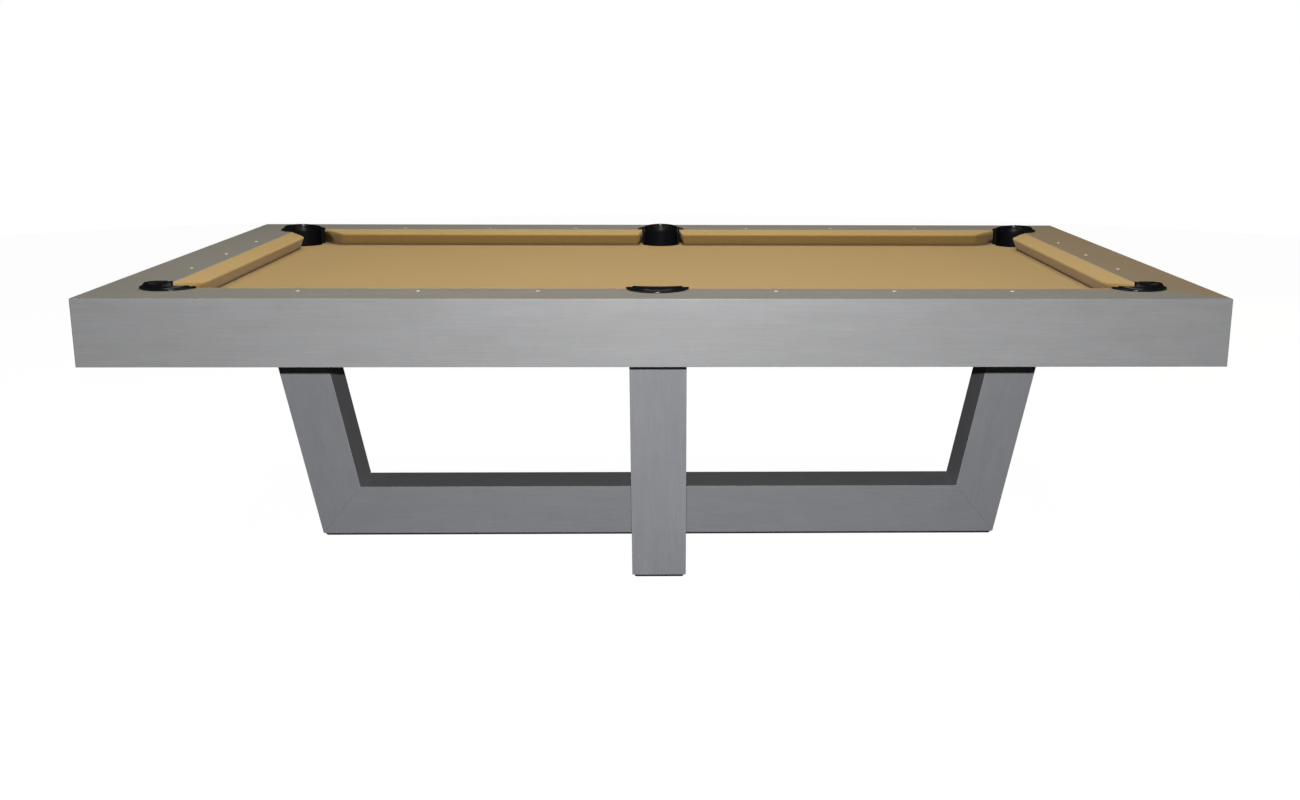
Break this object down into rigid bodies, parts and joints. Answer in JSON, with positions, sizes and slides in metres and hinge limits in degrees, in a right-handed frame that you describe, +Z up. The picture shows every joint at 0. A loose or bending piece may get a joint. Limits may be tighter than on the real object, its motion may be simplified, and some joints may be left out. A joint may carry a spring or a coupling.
{
  "type": "pool table",
  "caption": "Pool table with a slate bed, tan cloth, grey wooden rails and aprons, black moulded drop pockets and two crossed splayed foot frames with screw levelers.",
  "frame": {"origin": "centre of the table's footprint, on the floor under the foot strips", "axes": "+X along the table's length, +Y away from the front, +Z up"},
  "size_m": [2.6416, 1.524, 0.822],
  "materials": {
    "stained_wood": "satin grey stain over maple, fine grain",
    "frame_timber": "raw planed poplar",
    "black_shoe": "matt black",
    "zinc_steel": "zinc plated",
    "black_rubber": "matt black moulded rubber",
    "bolster_rubber": "natural gum rubber, matt",
    "pocket_rubber": "glossy black moulding",
    "slate": "honed slate",
    "cloth": "worsted tan table cloth"
  },
  "bodies": {
    "root": {"foot_beam_long": "stained_wood", "foot_beam_cross": "stained_wood", "leg_left": "stained_wood", "leg_right": "stained_wood", "leg_front": "stained_wood", "leg_back": "stained_wood", "leg_plate_left": "zinc_steel", "leg_plate_right": "zinc_steel", "leg_plate_front": "zinc_steel", "leg_plate_back": "zinc_steel", "shoe_long": "black_shoe", "shoe_front": "black_shoe", "shoe_back": "black_shoe", "leveler_insert_left": "zinc_steel", "leveler_insert_right": "zinc_steel", "leveler_insert_front": "zinc_steel", "leveler_insert_back": "zinc_steel", "frame_beam_front": "frame_timber", "frame_beam_back": "frame_timber", "frame_beam_left": "frame_timber", "frame_beam_centre": "frame_timber", "frame_beam_right": "frame_timber", "slate_left": "slate", "slate_centre": "slate", "slate_right": "slate", "bed_cloth": "cloth", "rail_left": "stained_wood", "rail_right": "stained_wood", "rail_front": "stained_wood", "rail_back": "stained_wood", "apron_left": "stained_wood", "apron_right": "stained_wood", "apron_front": "stained_wood", "apron_back": "stained_wood", "cushion_rubber_left": "bolster_rubber", "cushion_rubber_right": "bolster_rubber", "cushion_rubber_front_left": "bolster_rubber", "cushion_rubber_front_right": "bolster_rubber", "cushion_rubber_back_left": "bolster_rubber", "cushion_rubber_back_right": "bolster_rubber", "cushion_cloth_left": "cloth", "cushion_cloth_right": "cloth", "cushion_cloth_front_left": "cloth", "cushion_cloth_front_right": "cloth", "cushion_cloth_back_left": "cloth", "cushion_cloth_back_right": "cloth", "pocket_front_left": "pocket_rubber", "pocket_front_right": "pocket_rubber", "pocket_back_left": "pocket_rubber", "pocket_back_right": "pocket_rubber", "pocket_front_side": "pocket_rubber", "pocket_back_side": "pocket_rubber"},
    "pad_left": {"leveler_pad_left": "black_rubber"},
    "stud_left": {"leveler_stud_left": "zinc_steel"},
    "pad_right": {"leveler_pad_right": "black_rubber"},
    "stud_right": {"leveler_stud_right": "zinc_steel"},
    "pad_front": {"leveler_pad_front": "black_rubber"},
    "stud_front": {"leveler_stud_front": "zinc_steel"},
    "pad_back": {"leveler_pad_back": "black_rubber"},
    "stud_back": {"leveler_stud_back": "zinc_steel"}
  },
  "joints": [
    {"name": "leveler_left_slide", "type": "slide", "parent": "root", "child": "pad_left", "axis": [0, 0, -1], "range_m": [0, 0.02]},
    {"name": "leveler_left_turn", "type": "hinge", "parent": "pad_left", "child": "stud_left", "pos_m": [-0.88975, 0, 0.02], "axis": [0, 0, -1], "range_deg": [0, 4114.4]},
    {"name": "leveler_right_slide", "type": "slide", "parent": "root", "child": "pad_right", "axis": [0, 0, -1], "range_m": [0, 0.02]},
    {"name": "leveler_right_turn", "type": "hinge", "parent": "pad_right", "child": "stud_right", "pos_m": [0.88975, 0, 0.02], "axis": [0, 0, -1], "range_deg": [0, 4114.4]},
    {"name": "leveler_front_slide", "type": "slide", "parent": "root", "child": "pad_front", "axis": [0, 0, -1], "range_m": [0, 0.02]},
    {"name": "leveler_front_turn", "type": "hinge", "parent": "pad_front", "child": "stud_front", "pos_m": [0, -0.33095, 0.02], "axis": [0, 0, -1], "range_deg": [0, 4114.4]},
    {"name": "leveler_back_slide", "type": "slide", "parent": "root", "child": "pad_back", "axis": [0, 0, -1], "range_m": [0, 0.02]},
    {"name": "leveler_back_turn", "type": "hinge", "parent": "pad_back", "child": "stud_back", "pos_m": [0, 0.33095, 0.02], "axis": [0, 0, -1], "range_deg": [0, 4114.4]}
  ],
  "couplings": [
    {"joint": "leveler_left_turn", "follows": "leveler_left_slide", "rad_per_m": 3590.4},
    {"joint": "leveler_right_turn", "follows": "leveler_right_slide", "rad_per_m": 3590.4},
    {"joint": "leveler_front_turn", "follows": "leveler_front_slide", "rad_per_m": 3590.4},
    {"joint": "leveler_back_turn", "follows": "leveler_back_slide", "rad_per_m": 3590.4}
  ]
}
